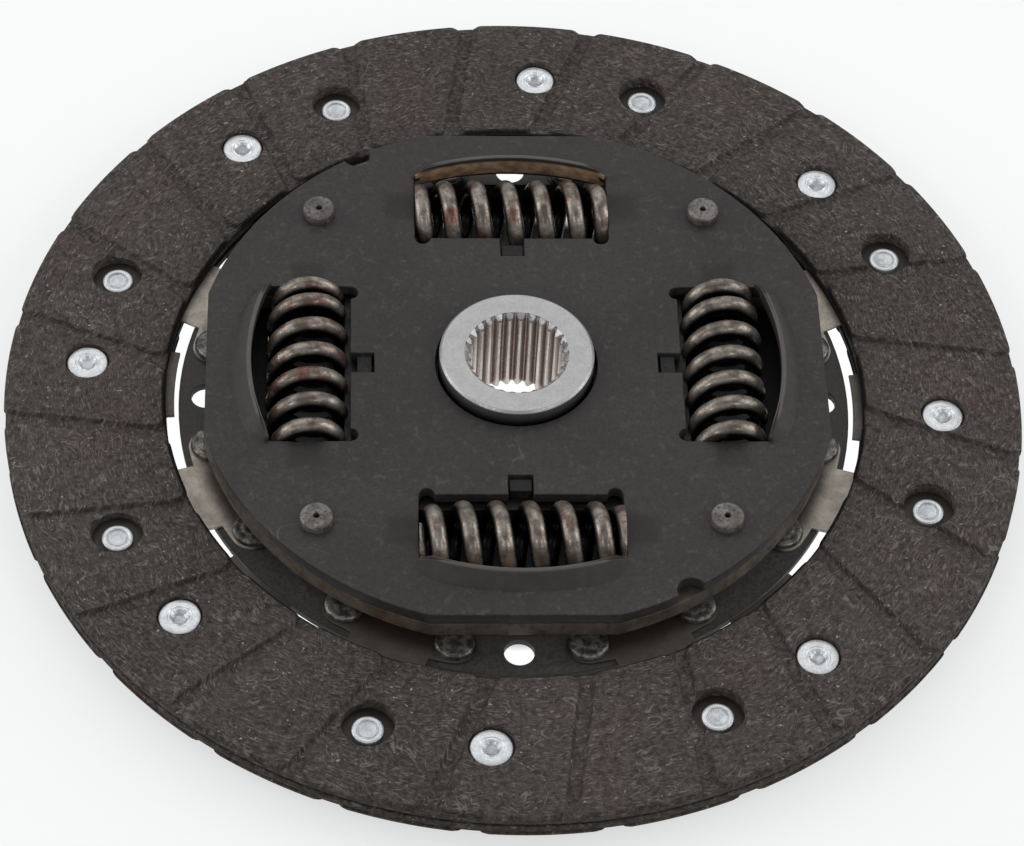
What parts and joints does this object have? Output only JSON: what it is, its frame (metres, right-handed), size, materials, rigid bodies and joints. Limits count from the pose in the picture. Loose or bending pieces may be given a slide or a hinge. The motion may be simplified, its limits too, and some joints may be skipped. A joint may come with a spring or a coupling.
{
  "type": "clutch disc",
  "caption": "Friction disc for a dry single-plate clutch, with a splined hub, riveted linings and coil-spring torsional damper.",
  "frame": {"origin": "on the hub's axis at the end of the hub on the engine side", "axes": "+Z along the hub's axis towards the gearbox side, the spring windows on the X and Y axes"},
  "size_m": [0.228, 0.228, 0.025],
  "materials": {
    "friction_lining": "matt, fibrous",
    "plate_steel": "satin",
    "cover_steel": "satin",
    "flange_steel": "dull, sheared",
    "hub_steel": "turned",
    "pin_steel": "dull",
    "foot_rivet_steel": "dull",
    "facing_rivet_steel": "bright",
    "friction_plastic": "matt",
    "spring_steel": "oiled",
    "cushion_steel": "satin"
  },
  "bodies": {
    "disc": {"centring_bush": "friction_plastic", "cover_plate": "cover_steel", "cushion_segment_1": "cushion_steel", "cushion_segment_2": "cushion_steel", "cushion_segment_3": "cushion_steel", "cushion_segment_4": "cushion_steel", "cushion_segment_5": "cushion_steel", "cushion_segment_6": "cushion_steel", "cushion_segment_7": "cushion_steel", "cushion_segment_8": "cushion_steel", "disc_spring": "spring_steel", "drive_plate": "plate_steel", "facing_engine_side": "friction_lining", "facing_gearbox_side": "friction_lining", "facing_rivets_engine_side": "facing_rivet_steel", "facing_rivets_gearbox_side": "facing_rivet_steel", "friction_ring_engine_side": "friction_plastic", "friction_ring_gearbox_side": "friction_plastic", "segment_rivets": "foot_rivet_steel", "spacer_pins": "pin_steel"},
    "hub": {"hub": "hub_steel", "hub_flange": "flange_steel"},
    "springs": {"damper_spring_1": "spring_steel", "damper_spring_2": "spring_steel", "damper_spring_3": "spring_steel", "damper_spring_4": "spring_steel"}
  },
  "joints": [
    {"name": "hub_twist", "type": "hinge", "parent": "disc", "child": "hub", "pos_m": [0, 0, 0], "axis": [0, 0, 1], "range_deg": [-8, 8], "stiffness_Nm_per_rad": 690, "deforming": ["damper_spring_1", "damper_spring_2", "damper_spring_3", "damper_spring_4"]},
    {"name": "springs_follow", "type": "hinge", "parent": "disc", "child": "springs", "pos_m": [0, 0, 0], "axis": [0, 0, 1], "range_deg": [-4, 4], "deforming": ["damper_spring_1", "damper_spring_2", "damper_spring_3", "damper_spring_4"]}
  ],
  "couplings": [
    {"joint": "springs_follow", "follows": "hub_twist", "ratio": 0.5}
  ]
}
